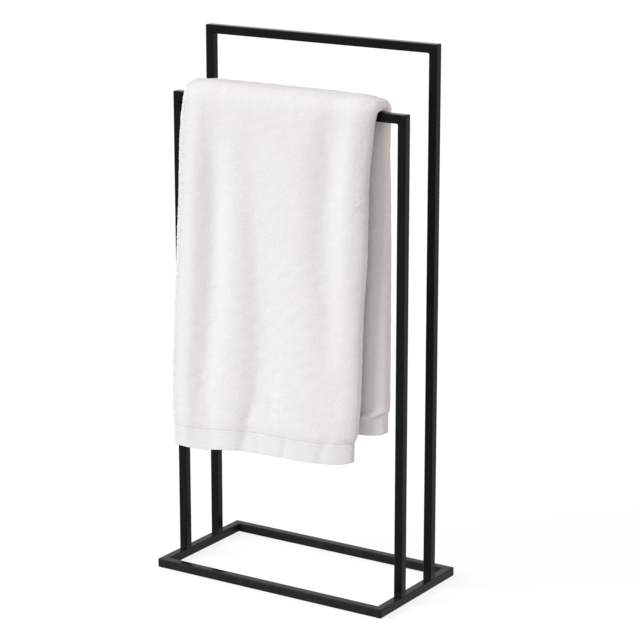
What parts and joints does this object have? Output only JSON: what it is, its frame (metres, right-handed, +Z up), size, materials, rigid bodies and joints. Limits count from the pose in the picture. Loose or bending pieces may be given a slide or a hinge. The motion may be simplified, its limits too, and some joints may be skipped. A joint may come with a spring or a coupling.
{
  "type": "towel stand",
  "caption": "Freestanding towel stand of black square tube: flat rectangular base, a low front frame and a taller rear frame, with a bath towel hung over the front bar.",
  "frame": {"origin": "on the floor under the middle of the base", "axes": "+X to the right, +Y to the rear, where the taller frame stands, +Z up"},
  "size_m": [0.45, 0.24, 0.92],
  "materials": {
    "black_powder_coat": "satin black powder coat, fine orange peel",
    "plain_steel": "plain turned steel",
    "zinc_plated_steel": "bright zinc plate",
    "pad_rubber": "matt black rubber",
    "towel_terry": "white cotton terry, cut loops, with plain woven hem bands"
  },
  "bodies": {
    "stand": {"base_front_rail": "black_powder_coat", "base_rear_rail": "black_powder_coat", "base_left_rail": "black_powder_coat", "base_right_rail": "black_powder_coat", "front_left_upright": "black_powder_coat", "front_right_upright": "black_powder_coat", "front_top_bar": "black_powder_coat", "rear_left_upright": "black_powder_coat", "rear_right_upright": "black_powder_coat", "rear_top_bar": "black_powder_coat", "front_left_thread_plug": "plain_steel", "front_right_thread_plug": "plain_steel", "rear_left_thread_plug": "plain_steel", "rear_right_thread_plug": "plain_steel", "front_left_washer": "zinc_plated_steel", "front_right_washer": "zinc_plated_steel", "rear_left_washer": "zinc_plated_steel", "rear_right_washer": "zinc_plated_steel", "front_left_frame_screw": "zinc_plated_steel", "front_right_frame_screw": "zinc_plated_steel", "rear_left_frame_screw": "zinc_plated_steel", "rear_right_frame_screw": "zinc_plated_steel", "front_left_floor_pad": "pad_rubber", "front_right_floor_pad": "pad_rubber", "rear_left_floor_pad": "pad_rubber", "rear_right_floor_pad": "pad_rubber"},
    "hung_towel": {"towel": "towel_terry"}
  },
  "joints": [
    {"name": "towel_lift", "type": "slide", "parent": "stand", "child": "hung_towel", "axis": [0, 0, 1], "range_m": [0, 0.65]}
  ]
}
